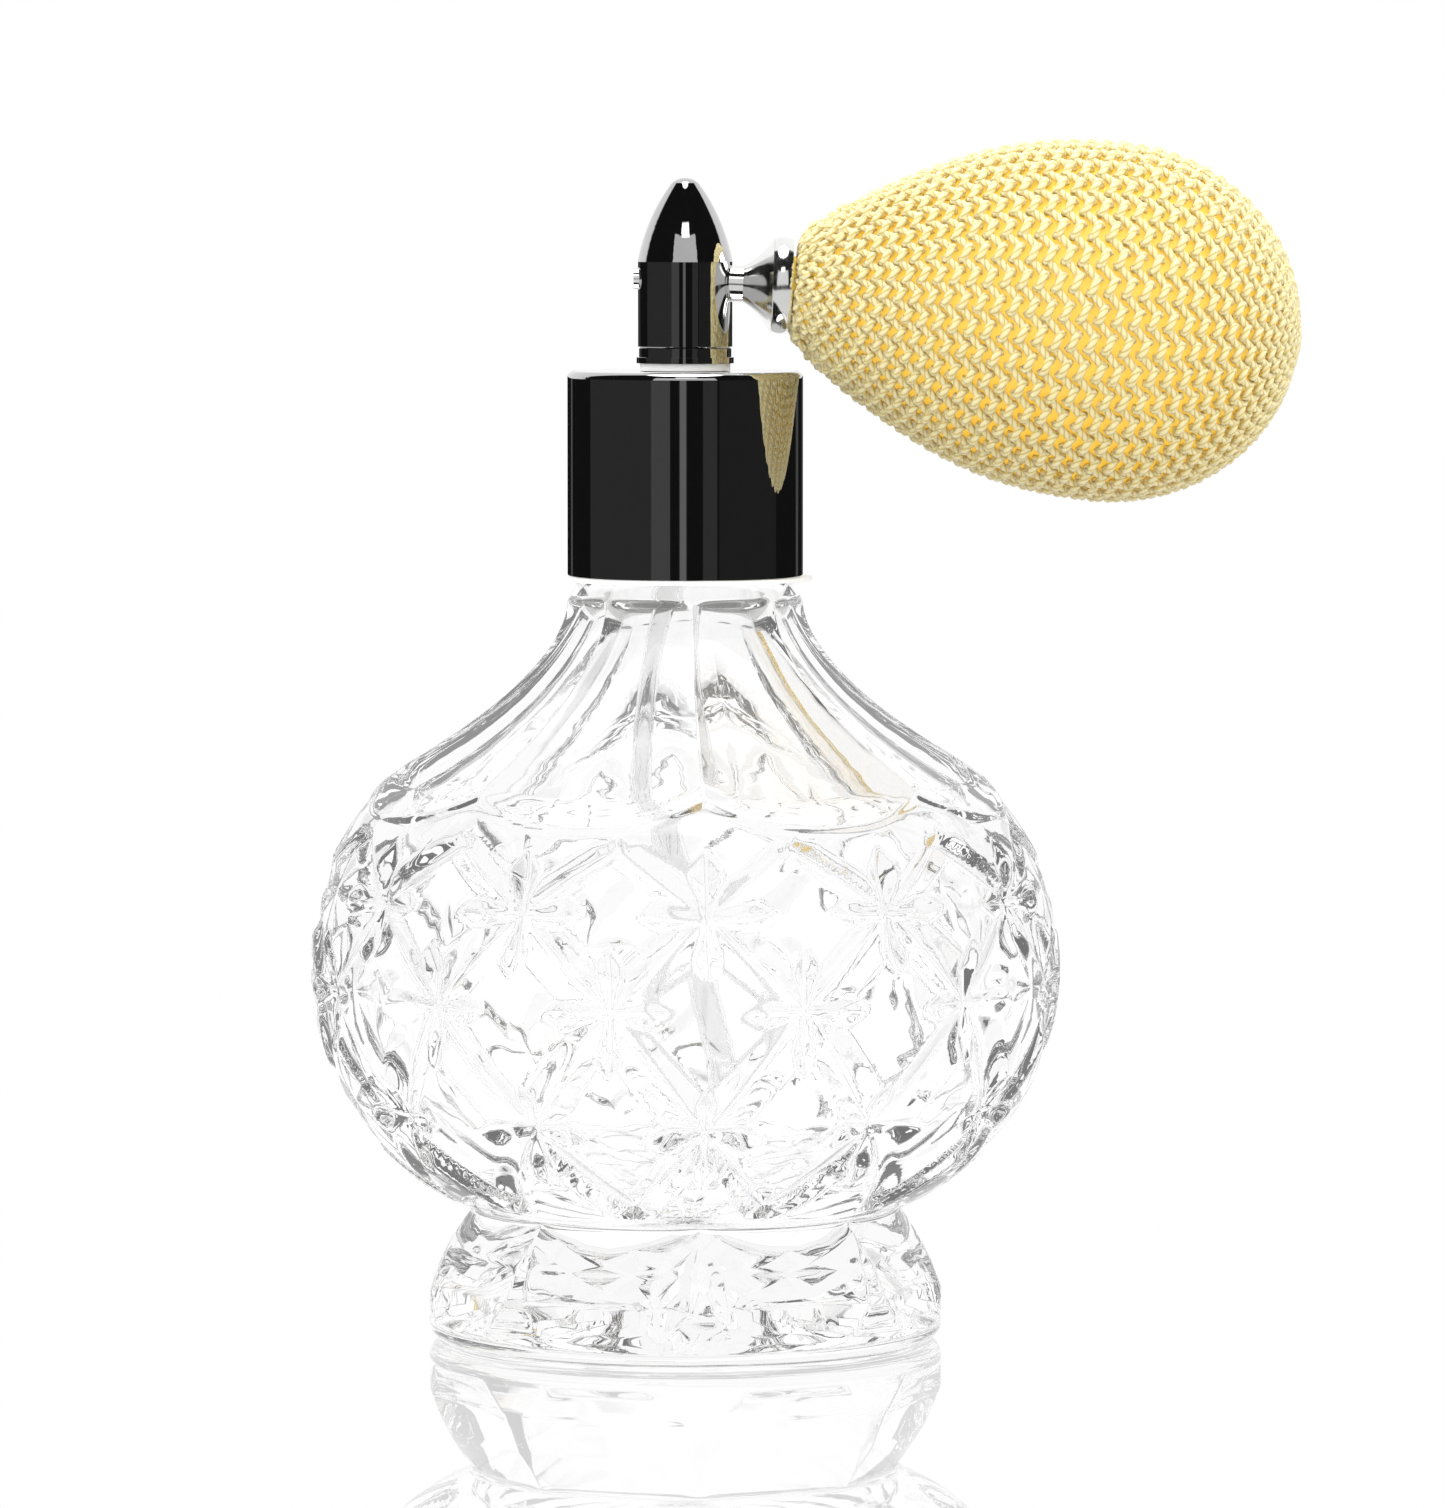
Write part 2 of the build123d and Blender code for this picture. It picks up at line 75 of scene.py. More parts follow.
# The bulb's own frame: its axis points away from the head, and the upper half is pushed against its up.
BULB_UP = -np.array(joint("bulb_squeeze_upper")["axis"], float)
BULB_UP /= np.linalg.norm(BULB_UP)
BULB_SIDE = np.array((0.0, 1.0, 0.0))
BULB_AXIS = np.cross(BULB_SIDE, BULB_UP)
CONE_DROOP = math.radians(2.5)
RING_HALF = 1.0
RING_FACE = (RING_LOW + RING_HIGH) / 2 + RING_HALF * np.array(
    (math.cos(CONE_DROOP), 0, -math.sin(CONE_DROOP))
)

# ---------------------------------------------------------------- bottle outline, as in the CAD model
FOOT_R = 26.2
FOOT_EDGE_Z = 2.4
FOOT_TOP_Z = 5.1
WAIST = (21.8, 13.5)
BELLY = (38.6, 38.6)
SHOULDER = (31.8, 55.6)
NECK_BASE = (12.0, 75.5)
NECK_BAND_R = 10.9
NECK_BAND_Z = 79.2
NECK_ROOT_R = 8.8
NECK_BORE_R = 7.2
LIP_Z = max(box_mm(name)[1][2] for name in GLASS_NODES)
THREAD_Z = 84.6
THREAD_TURNS = 1.5
THREAD_PITCH = 3.175
THREAD_HEIGHT = 1.0
THREAD_FOOT = 1.3

PHASE = math.radians(3.5)  # all the cuts are turned this much from +X, so from -Y too
FLUTES = 8
STARS = 12
STAR_ROWS = (46.4, 36.5, 23.8)  # heights of the three rows of star centres
STAR_ARMS = ((6.9, 6.6, 6.6), (6.6, 6.5, 6.5), (6.0, 5.6, 6.8))  # sideways, up and down, row by row
ZIGZAG_TOP = 52.9
ZIGZAG_LOW = 15.2
RIDGE_RISE = 21.9  # the shoulder's ridges widen by this much over the span below the neck
RIDGE_SPAN = 19.5
RIDGE_POWER = 1.74
NECK_BAND_FOOT_Z = 77.5
UNDERSIDE_STEPS = 34
FOOT_EDGE_STEPS = 8
FOOT_RAYS = 24
FIELD_TOP_Z = 57.5  # the cut field fades into the flutes up to here
GLASS_COLUMNS = 480
CLIMB_STEPS = 240  # outline points from the waist up that are read for distances up the glass


def three_point_arc(a, b, c, count):
    """Points from a through b to c on one circle, count of them, a included and c left out."""
    (ax, ay), (bx, by), (cx, cy) = a, b, c
    d = 2 * (ax * (by - cy) + bx * (cy - ay) + cx * (ay - by))
    a2, b2, c2 = ax * ax + ay * ay, bx * bx + by * by, cx * cx + cy * cy
    ox = (a2 * (by - cy) + b2 * (cy - ay) + c2 * (ay - by)) / d
    oy = (a2 * (cx - bx) + b2 * (ax - cx) + c2 * (bx - ax)) / d
    radius = math.hypot(ax - ox, ay - oy)
    start = math.atan2(ay - oy, ax - ox)
    middle = math.atan2(by - oy, bx - ox)
    end = math.atan2(cy - oy, cx - ox)
    turn = (end - start) % (2 * math.pi)
    if (middle - start) % (2 * math.pi) > turn:
        turn -= 2 * math.pi
    angles = start + turn * np.arange(count) / count
    return [(ox + radius * math.cos(t), oy + radius * math.sin(t)) for t in angles]


def straight(a, b, count):
    """Points from a towards b, count of them, b left out."""
    return [(a[0] + (b[0] - a[0]) * i / count, a[1] + (b[1] - a[1]) * i / count) for i in range(count)]


def soft_abs(x, soft):
    """Distance from 0 with a rounded bottom."""
    return np.sqrt(x * x + soft * soft) - soft


def smooth_step(x):
    """0 below 0, 1 above 1, and an even S between."""
    x = np.clip(x, 0, 1)
    return x * x * (3 - 2 * x)


# ---------------------------------------------------------------- cuts in the glass, depths in mm
def valley(across, half, depth, soft=0.22):
    """Depth of a V groove at a distance across from its middle line."""
    return depth * np.clip(1 - soft_abs(across, soft) / half, 0, None)


def leaf(along, across, length, depth=1.55):
    """Depth of one pointed arm of a star: narrow at the centre, widest past its middle."""
    share = np.clip(along / length, 0, 1)
    half = np.where(share < 0.66, 0.95 + 0.65 * share / 0.66, 1.6 * (1 - share) / 0.34)
    half = np.clip(half, 0.02, None)
    taper = np.clip((1 - share) / 0.42, 0, 1)
    cut = depth * taper * np.clip(1 - soft_abs(across, 0.15) / half, 0, None)
    return np.where((along >= 0) & (along < length), cut, 0)


def slanted_groove(d, v, r, at_near, at_far, half, depth):
    """Depth of a groove from distance at_near up one star line to at_far halfway to the next line."""
    half_period = math.pi / STARS
    share = (v - at_near) / (at_far - at_near)
    slope = r * half_period / abs(at_far - at_near)
    across = r * (d - half_period * share) / np.sqrt(1 + slope**2)
    inside = (share > -0.02) & (share < 1.02)
    return np.where(inside, valley(across, half, depth, 0.3), 0)


def star_field(theta, v, r, v_of):
    """Depth of the stars, bands and zigzags at angle theta, distance v up the outline and radius r."""
    half_period = math.pi / STARS
    d = np.abs((theta - PHASE + half_period) % (2 * half_period) - half_period)
    near, far = r * d, r * (half_period - d)
    v1, v2, v3 = (v_of(h) for h in STAR_ROWS)
    top, low = v_of(ZIGZAG_TOP), v_of(ZIGZAG_LOW)
    grooves = ((v1, v2, 2.25, 1.15), (v3, v2, 2.25, 1.15), (v1, top, 1.25, 0.85), (v3, low, 1.7, 0.95))
    depth = np.zeros_like(d)
    for groove in grooves:
        depth = np.maximum(depth, slanted_groove(d, v, r, *groove))
    rows = zip((v1, v2, v3), (near, far, near), STAR_ARMS)
    for centre, along_side, (side, up, down) in rows:
        depth = np.maximum(depth, leaf(along_side, v - centre, side))
        depth = np.maximum(depth, leaf(v - centre, along_side, up))
        depth = np.maximum(depth, leaf(centre - v, along_side, down))
    # The field between the two zigzags lies a little deeper than the plain glass beyond them.
    edge_top = v1 + (top - v1) * d / half_period
    edge_low = v3 + (low - v3) * d / half_period
    sunk = smooth_step((edge_top + 1.0 - v) / 0.5) * smooth_step((v - edge_low + 1.2) / 0.5)
    return depth + 0.3 * sunk


def flute_depth(theta):
    """0 on the ridges between flutes and 1 in the middle of each flute."""
    period = 2 * math.pi / FLUTES
    d = (theta - PHASE) % period / period
    return 1 - (2 * d - 1) ** 2


def ridge_line(z):
    """Radius of the shoulder's ridges at height z, carried on down past the shoulder's edge."""
    down = np.clip(NECK_BASE[1] - z, 0, None) / RIDGE_SPAN
    return NECK_BASE[0] + RIDGE_RISE * down**RIDGE_POWER


def arc_radius(z, a, b, c):
    """Radius at height z of the outline's arc a, b, c."""
    points = np.array(three_point_arc(a, b, c, 400) + [c])
    order = np.argsort(points[:, 1])
    return np.interp(z, points[order, 1], points[order, 0])


def round_line(z):
    """Radius of the round belly, carried on up until the flutes have cut all of it away."""
    belly = arc_radius(z, BELLY, (36.7, 47.9), SHOULDER)
    up = np.clip(z - SHOULDER[1], 0, None)
    above = SHOULDER[0] - 0.75 * up - 0.06 * up**2
    above = np.where(up > 5.5, np.maximum(above, ridge_line(z) + 1.5), above)
    return np.where(up > 0, above, belly)


# ---------------------------------------------------------------- mesh helpers
def new_object(name, vertices, faces, smooth=True):
    """A mesh object from vertices in mm and a list of faces."""
    mesh = bpy.data.meshes.new(name)
    vertices = np.asarray(vertices, np.float32) * MM
    faces = np.asarray(faces, np.int32)
    corners = faces.shape[1]
    mesh.vertices.add(len(vertices))
    mesh.vertices.foreach_set("co", vertices.ravel())
    mesh.loops.add(faces.size)
    mesh.loops.foreach_set("vertex_index", faces.ravel())
    mesh.polygons.add(len(faces))
    mesh.polygons.foreach_set("loop_start", np.arange(0, faces.size, corners, dtype=np.int32))
    mesh.update(calc_edges=True)
    mesh.validate()
    if smooth:
        mesh.shade_smooth()
    obj = bpy.data.objects.new(name, mesh)
    bpy.context.scene.collection.objects.link(obj)
    return obj


def grid_faces(rows, columns, first=0):
    """Quads of a grid of rows by columns, wrapped round, as indices."""
    i, j = np.meshgrid(np.arange(rows - 1), np.arange(columns), indexing="ij")
    k = (j + 1) % columns
    quads = np.stack((i * columns + j, i * columns + k, (i + 1) * columns + k, (i + 1) * columns + j), -1)
    return quads.reshape(-1, 4) + first


def triangles(quads):
    return np.concatenate((quads[:, (0, 1, 2)], quads[:, (0, 2, 3)]))


# ---------------------------------------------------------------- glass bottle
def outer_outline():
    """Points (r, z) of the bottle's outside, from the middle of its underside to the lip's inner edge."""
    points = straight((0.6, 0.0), (FOOT_R - 1.4, 0.0), UNDERSIDE_STEPS)
    edge = [(FOOT_R - 1.4, 0.0), (FOOT_R - 0.35, 0.7), (FOOT_R, FOOT_EDGE_Z)]
    points += three_point_arc(*edge, FOOT_EDGE_STEPS)
    points += straight((FOOT_R, FOOT_EDGE_Z), (FOOT_R, FOOT_TOP_Z), 6)
    points += three_point_arc((FOOT_R, FOOT_TOP_Z), (24.4, 9.4), (WAIST[0] + 0.1, WAIST[1] - 0.15), 22)
    points += three_point_arc((WAIST[0] + 0.1, WAIST[1] - 0.15), WAIST, (WAIST[0] + 0.3, WAIST[1] + 0.12), 3)
    points += three_point_arc((WAIST[0] + 0.3, WAIST[1] + 0.12), (33.4, 22.3), BELLY, 84)
    points += three_point_arc(BELLY, (36.7, 47.9), SHOULDER, 46)
    points += three_point_arc(SHOULDER, (19.7, 64.8), NECK_BASE, 58)
    points += straight(NECK_BASE, (NECK_BAND_R + 0.05, NECK_BAND_FOOT_Z - 0.1), 5)
    points += straight((NECK_BAND_R, NECK_BAND_FOOT_Z + 0.1), (NECK_BAND_R, NECK_BAND_Z - 0.2), 4)
    points += straight((NECK_BAND_R, NECK_BAND_Z - 0.2), (NECK_BAND_R - 0.2, NECK_BAND_Z), 2)
    points += straight((NECK_BAND_R - 0.2, NECK_BAND_Z), (NECK_ROOT_R + 0.2, NECK_BAND_Z), 3)
    points += straight((NECK_ROOT_R + 0.2, NECK_BAND_Z), (NECK_ROOT_R, NECK_BAND_Z + 0.2), 2)
    points += straight((NECK_ROOT_R, NECK_BAND_Z + 0.2), (NECK_ROOT_R, LIP_Z - 0.5), 56)
    lip = [(NECK_ROOT_R, LIP_Z - 0.5), (NECK_ROOT_R - 0.15, LIP_Z - 0.15), (NECK_ROOT_R - 0.5, LIP_Z)]
    points += three_point_arc(*lip, 4)
    points += straight((NECK_ROOT_R - 0.5, LIP_Z), (NECK_BORE_R + 0.3, LIP_Z), 2)
    return np.array(points)


def inner_outline():
    """Points (r, z) of the cavity from the lip's inner edge down to the middle of its floor."""
    lip = [(NECK_BORE_R + 0.3, LIP_Z), (NECK_BORE_R + 0.09, LIP_Z - 0.09), (NECK_BORE_R, LIP_Z - 0.3)]
    points = three_point_arc(*lip, 3)
    points += straight((NECK_BORE_R, LIP_Z - 0.3), (NECK_BORE_R, NECK_BASE[1] + 1), 8)
    points += three_point_arc((NECK_BORE_R, NECK_BASE[1] + 1), (14.6, 64.6), (26.4, 54.6), 26)
    points += three_point_arc((26.4, 54.6), (31.6, 47.0), (33.4, BELLY[1]), 18)
    points += three_point_arc((33.4, BELLY[1]), (28.6, 24.4), (16.0, 17.5), 30)
    points += straight((16.0, 17.5), (0.6, 17.5), 10)
    return np.array(points)


def glass_columns(count):
    """Angles round the bottle, closer together along the star lines and the flutes' ridges."""
    step = 2 * math.pi / 24
    u = np.arange(count) * 2 * math.pi / count
    return PHASE + u - 0.42 * step / (2 * math.pi) * np.sin(u * 24)


def turned_grid(line, theta):
    """Radius, height and angle of every vertex of a turned surface, as equal arrays."""
    radius = line[:, 0][:, None] + 0 * theta
    height = line[:, 1][:, None] + 0 * theta
    return radius, height, theta + 0 * radius


def turned_points(radius, height, theta):
    """Vertices of a turned surface whose angles are measured from -Y."""
    return np.stack((radius * np.sin(theta), -radius * np.cos(theta), height), -1).reshape(-1, 3)


def underside_cuts(theta, r):
    """Depth of the star of rays pressed into the underside of the foot."""
    ray = np.abs((theta - PHASE) / (2 * math.pi) * FOOT_RAYS % 1 - 0.5) * 2
    return 1.3 * np.clip(ray - 0.15, 0, 1) * smooth_step((r - 1.5) / 4) * smooth_step((24.0 - r) / 1.6)


def shoulder_radius(theta, z):
    """Radius of the shoulder: the lower of the round belly and the flutes, with a bead where they meet."""
    hollow = np.interp(z, (54, 57, 62, 68, 75.5), (3.2, 3.0, 2.4, 1.6, 0.8))
    flute = ridge_line(z) - hollow * flute_depth(theta)
    gap = flute - round_line(z)
    bead = 0.35 * np.exp(-(((gap - 1.1) / 0.55) ** 2)) * smooth_step((z - 53.5) / 1.0)
    soft = 0.18
    return flute - soft * np.logaddexp(0, gap / soft) + bead


def cove_radius(theta, z):
    """Radius of the fluted cove above the foot's upright band."""
    cove = np.interp(z, (1.0, FOOT_TOP_Z, 9.4, WAIST[1]), (28.4, 26.9, 24.7, WAIST[0]))
    return cove - np.interp(z, (1, 6, 13.5), (2.6, 2.3, 0.5)) * flute_depth(theta)


def thread_ridge(theta, z):
    """1 on the crest of the neck's screw thread and 0 between its turns."""
    ridge = np.zeros_like(z)
    for turn in (0, 1):
        angle = (theta - math.pi / 2) % (2 * math.pi) + 2 * math.pi * turn
        height = THREAD_Z + THREAD_PITCH * angle / (2 * math.pi)
        ends = smooth_step(angle / 0.3) * smooth_step((THREAD_TURNS * 2 * math.pi - angle) / 0.3)
        crest = np.clip((THREAD_FOOT / 2 - np.abs(z - height)) / 0.3, 0, 1)
        ridge = np.maximum(ridge, ends * crest)
    return ridge


def glass_outside(outline, theta):
    """Vertices of the bottle's outside with all its cuts."""
    lengths = np.concatenate(([0], np.cumsum(np.linalg.norm(np.diff(outline, axis=0), axis=1))))
    tangent = np.gradient(outline, lengths, axis=0)
    tangent /= np.linalg.norm(tangent, axis=1)[:, None]
    rise = outline[:, 1] > WAIST[1]

    def v_of(height):
        return float(np.interp(height, outline[rise][:CLIMB_STEPS, 1], lengths[rise][:CLIMB_STEPS]))

    r, z, along = turned_grid(outline, theta)
    v = lengths[:, None] + 0 * theta
    under = v < lengths[UNDERSIDE_STEPS]
    above = v > lengths[UNDERSIDE_STEPS]
    belly = (z > WAIST[1]) & (z < FIELD_TOP_Z) & above
    shoulder = (z > 53.0) & (z < NECK_BASE[1] + 0.05) & above
    foot = (v > lengths[UNDERSIDE_STEPS + FOOT_EDGE_STEPS]) & (z < WAIST[1]) & (z > 2.0)
    neck = (z > NECK_BAND_Z + 0.3) & (z < LIP_Z - 0.6) & (v > v_of(NECK_BASE[1]))

    field = star_field(along, v, r, v_of) * smooth_step((v - v_of(WAIST[1] + 0.3)) / 1.0)
    depth = np.where(belly, field, 0) + np.where(under, underside_cuts(along, r), 0)
    radius = r - tangent[:, 1][:, None] * depth
    height = z + tangent[:, 0][:, None] * depth
    radius = np.where(shoulder, shoulder_radius(along, z) - field * (z < FIELD_TOP_Z), radius)
    radius = np.where(foot, np.minimum(radius, cove_radius(along, z)), radius)
    radius = np.where(neck, radius + THREAD_HEIGHT * thread_ridge(along, z), radius)
    return turned_points(radius, height, along)


def lip_faces(last, base, columns):
    """Triangles that join the outside's last row to the cavity's first, which has half as many columns."""
    j = np.arange(columns // 2)
    k = (j + 1) % (columns // 2)
    a, b, c = last + 2 * j, last + 2 * j + 1, last + (2 * j + 2) % columns
    corners = ((a, b, base + j), (b, base + k, base + j), (b, c, base + k))
    return [np.stack(three, -1) for three in corners]


def fan_faces(middle, first, columns, upward):
    """Triangles from a middle point to a ring of columns."""
    j = np.arange(columns)
    here, there, centre = first + j, first + (j + 1) % columns, np.full(columns, middle)
    return np.stack((here, there, centre) if upward else (centre, there, here), -1)


def glass_bottle():
    """The whole glass as one closed mesh: outside, lip and cavity."""
    outline, inner_line = outer_outline(), inner_outline()
    columns, inner_columns = GLASS_COLUMNS, GLASS_COLUMNS // 2
    theta = glass_columns(columns)[None, :]
    outer = glass_outside(outline, theta)
    inner = turned_points(*turned_grid(inner_line, theta[:, ::2]))
    centres = np.array(((0, 0, outline[0][1]), (0, 0, inner_line[-1][1])))
    base = len(outer)
    bottom = base + len(inner)
    faces = [
        triangles(grid_faces(len(outline), columns)),
        triangles(grid_faces(len(inner_line), inner_columns, base)),
        *lip_faces(base - columns, base, columns),
        fan_faces(bottom, 0, columns, upward=False),
        fan_faces(bottom + 1, bottom - inner_columns, inner_columns, upward=True),
    ]
    return new_object("cut_glass_bottle", np.concatenate((outer, inner, centres)), np.concatenate(faces))


# ---------------------------------------------------------------- bulb: form shared by rubber and net
BULB_LENGTH = 52.1
BULB_R = 18.15
BULB_NECK_R = 5.9
BULB_WIDEST = 32.5
BLADDER_INSET = 1.1
BLADDER_START = 0.9
BLADDER_NECK = ((-1.2, 3.0), (-0.6, 3.0), (0.2, 3.05), (0.7, 3.6))  # distance along the axis and radius
NET_START = 0.4
NET_FULL = 4.0  # from here on the net follows the bulb's own form
NET_INSET = 0.5


def bulb_radius(s, inset=0.0):
    """Radius of the bulb at distance s along its axis, inset from the net's outside."""
    s = np.asarray(s, float)
    x = np.clip(s / BULB_WIDEST, 0, 1)
    rising = BULB_NECK_R + (BULB_R - BULB_NECK_R) * (np.sin(math.pi / 2 * x) + 0.7 * (x * (1 - x)) ** 2)
    nose = (s - BULB_WIDEST) / (BULB_LENGTH - inset - BULB_WIDEST)
    falling = (BULB_R - inset) * np.sqrt(np.clip(1 - nose**2, 0, 1))
    return np.where(s < BULB_WIDEST, rising - inset, falling)


def bulb_points(s, radius, angle):
    """Points in the row frame at distance s along the bulb, at that radius and angle from its up."""
    up = radius * np.cos(angle)
    side = radius * np.sin(angle)
    return (
        RING_FACE
        + np.multiply.outer(s, BULB_AXIS)
        + np.multiply.outer(up, BULB_UP)
        + np.multiply.outer(side, BULB_SIDE)
    )


def rubber_bulb():
    """The bladder as one skin under the net, capped at its neck; a 0.1 mm hole is left at its far end."""
    rows, columns = 72, 96
    turn = np.linspace(0, 1, rows)
    s = BLADDER_START + (BULB_LENGTH - BLADDER_INSET - BLADDER_START) * np.sin(turn * math.pi / 2)
    radius = bulb_radius(s, BLADDER_INSET) - 0.6 * np.clip(1 - (s - BLADDER_START) / 4, 0, 1)
    radius[-1] = 0.05
    neck = np.array(BLADDER_NECK)
    line = np.concatenate((neck, np.stack((s, radius), -1)))
    angle = np.arange(columns) * 2 * math.pi / columns
    along = line[:, 0][:, None] + 0 * angle
    away = line[:, 1][:, None] + 0 * angle
    outer = bulb_points(along, away, angle[None, :] + 0 * along).reshape(-1, 3)
    faces = triangles(grid_faces(len(line), columns)[:, ::-1])
    back = bulb_points(neck[:1, 0], np.zeros(1), np.zeros(1))
    cap = fan_faces(len(outer), 0, columns, upward=False)[:, (0, 2, 1)]
    return new_object("rubber_bulb", np.concatenate((outer, back)), np.concatenate((faces, cap)))


# ---------------------------------------------------------------- knitted net
WALES = 38
SLANT = 23  # courses by which the yarns wind back in one turn, so also the number of yarns
COURSE = 1.76  # distance over the surface from one course to the next
LOOP_HALF = 0.78  # half the height of a loop
LOOP_CURL = 0.15  # how far a loop's legs lean over, in wales
YARN_R = 0.42
YARN_SIDES = 8
STITCH_STEPS = 14
GATHER_R = 2.6  # the wales end at this radius at the bulb's far end
END_TURNS = 3.5
PLIES = 3
PLY_LENGTH = 0.85  # distance along the yarn from one ply's ridge to the next


def surface_table():
    """Places along the bulb's axis, with the net's radius and the distance over its surface there."""
    side = np.linspace(NET_START, 50.0, 320)
    nose = 50.0 + (BULB_LENGTH - 50.0) * np.sin(np.linspace(0, 1, 80) * math.pi / 2)[1:]
    s = np.concatenate((side, nose))
    r = bulb_radius(s, NET_INSET)
    full = float(bulb_radius(NET_FULL, NET_INSET))
    gathered = np.interp(s, (NET_START, 0.8, 1.6, NET_FULL), (3.9, 5.0, 5.7, full))
    r = np.where(s < NET_FULL, gathered, r)
    over = np.concatenate(([0], np.cumsum(np.hypot(np.diff(s), np.diff(r)))))
    return s, r, over


def tube(path, radius):
    """Vertices, quads and (along, around) texture places of an open round yarn along path."""
    tangent = np.gradient(path, axis=0)
    tangent /= np.linalg.norm(tangent, axis=1)[:, None]
    centre = RING_FACE + np.multiply.outer((path - RING_FACE) @ BULB_AXIS, BULB_AXIS)
    out = path - centre
    out -= (out * tangent).sum(1)[:, None] * tangent
    out /= np.linalg.norm(out, axis=1)[:, None]
    side = np.cross(tangent, out)
    run = np.concatenate(([0], np.cumsum(np.linalg.norm(np.diff(path, axis=0), axis=1))))
    turn = np.arange(YARN_SIDES) * 2 * math.pi / YARN_SIDES
    radius = np.broadcast_to(radius, len(path))[:, None, None]
    ring = np.cos(turn)[None, :, None] * out[:, None] + np.sin(turn)[None, :, None] * side[:, None]
    i, j = np.meshgrid(np.arange(len(path) - 1), np.arange(YARN_SIDES), indexing="ij")
    k = (j + 1) % YARN_SIDES
    quads = np.stack(
        (i * YARN_SIDES + j, i * YARN_SIDES + k, (i + 1) * YARN_SIDES + k, (i + 1) * YARN_SIDES + j), -1
    )
    u = np.stack((run[i], run[i], run[i + 1], run[i + 1]), -1)
    v = np.stack((j, j + 1, j + 1, j), -1) / YARN_SIDES
    places = np.stack((u, v), -1).reshape(-1, 2)
    return (path[:, None] + radius * ring).reshape(-1, 3), quads.reshape(-1, 4), places


def smooth_noise(rng, count, step):
    """A wandering value for each of count samples, with a new random one every step samples."""
    knots = rng.normal(0, 1, count // step + 3)
    return np.interp(np.arange(count) / step, np.arange(len(knots)), knots)


def stitched_yarn(rng, yarn, surface, length):
    """One yarn as a tube: a row of curled waves that winds round the bulb and along it."""
    s_table, r_table, over = surface
    slant = SLANT / WALES
    first, last = (yarn - length / COURSE) / slant, yarn / slant
    count = int((last - first) * STITCH_STEPS)
    j = np.linspace(first, last, count)
    t = 2 * math.pi * j
    wale = j - LOOP_CURL * np.sin(2 * t)
    distance = (yarn - slant * wale) * COURSE
    near = np.clip(1 - distance / 12, 0, 1)  # the stitches are untidy where the net is gathered
    distance = distance + LOOP_HALF * np.cos(t) + (0.04 + 0.3 * near) * smooth_noise(rng, count, 20)
    distance = np.clip(distance, 0.02, length)
    s = np.interp(distance, over, s_table)
    r = np.interp(distance, over, r_table)
    crowd = np.clip(1.15 - r / 16, 0, 1)
    lift = -0.2 * np.cos(2 * t) * (1 + 0.5 * crowd) - 0.22 * np.sin(t)
    lift = lift + 0.3 * near * smooth_noise(rng, count, 9) * smooth_step(distance / 1.5)
    angle = 2 * math.pi * (wale + 0.03 * smooth_noise(rng, count, 14)) / WALES
    return tube(bulb_points(s, r + lift, angle), YARN_R * (1 - 0.2 * crowd))


def drawn_end():
    """The few turns of yarn that draw the net's far end together."""
    share = np.linspace(0, 1, 160)
    r = np.interp(share, (0, 1), (GATHER_R + 0.1, 0.3))
    turn = END_TURNS * 2 * math.pi * share
    return tube(bulb_points(BULB_LENGTH - 0.75 + 0.35 * share, r, turn), YARN_R * 1.15)


def knit_net():
    """Yarns that wind round the bulb in waves, overlapping their neighbours but not drawn through them."""
    surface = surface_table()
    s_table, r_table, over = surface
    beyond = (s_table > BULB_WIDEST) & (r_table < GATHER_R)
    length = over[np.argmax(beyond)]
    rng = np.random.default_rng(11)
    yarns = [stitched_yarn(rng, yarn, surface, length) for yarn in range(SLANT)]
    return join_tubes("knitted_net", [*yarns, drawn_end()])


def join_tubes(name, pieces):
    """One object from tubes of yarn, with their texture places."""
    vertices, faces, places, first = [], [], [], 0
    for points, quads, spots in pieces:
        vertices.append(points)
        faces.append(quads + first)
        places.append(spots)
        first += len(points)
    obj = new_object(name, np.concatenate(vertices), np.concatenate(faces))
    layer = obj.data.uv_layers.new(name="yarn")
    layer.data.foreach_set("uv", np.concatenate(places).astype(np.float32).ravel())
    return obj


# ---------------------------------------------------------------- materials
def material(name):
    """A new material with its node tree and its shader."""
    mat = bpy.data.materials.new(name)
    mat.use_nodes = True
    tree = mat.node_tree
    shader = tree.nodes["Principled BSDF"]
    return mat, tree, shader


def noise(tree, scale, detail=4.0, rough=0.5):
    """A noise texture fixed to the object."""
    coords = tree.nodes.new("ShaderNodeTexCoord")
    node = tree.nodes.new("ShaderNodeTexNoise")
    node.inputs["Scale"].default_value = scale
    node.inputs["Detail"].default_value = detail
    node.inputs["Roughness"].default_value = rough
    tree.links.new(coords.outputs["Object"], node.inputs["Vector"])
    return node


def ramp(tree, source, stops):
    """A colour ramp through (place, colour) stops."""
    node = tree.nodes.new("ShaderNodeValToRGB")
    elements = node.color_ramp.elements
    while len(elements) < len(stops):
        elements.new(0.5)
    for element, (at, colour) in zip(elements, stops):
        element.position = at
        element.color = (*colour, 1)
    tree.links.new(source, node.inputs["Fac"])
    return node


def bump(tree, source, shader, strength, distance):
    node = tree.nodes.new("ShaderNodeBump")
    node.inputs["Strength"].default_value = strength
    node.inputs["Distance"].default_value = distance
    tree.links.new(source, node.inputs["Height"])
    tree.links.new(node.outputs["Normal"], shader.inputs["Normal"])


def maths(tree, kind, *values):
    """Output of a Math node; each value is a number or another node's output."""
    node = tree.nodes.new("ShaderNodeMath")
    node.operation = kind
    for slot, value in zip(node.inputs, values):
        if isinstance(value, (int, float)):
            slot.default_value = value
        else:
            tree.links.new(value, slot)
    return node.outputs[0]


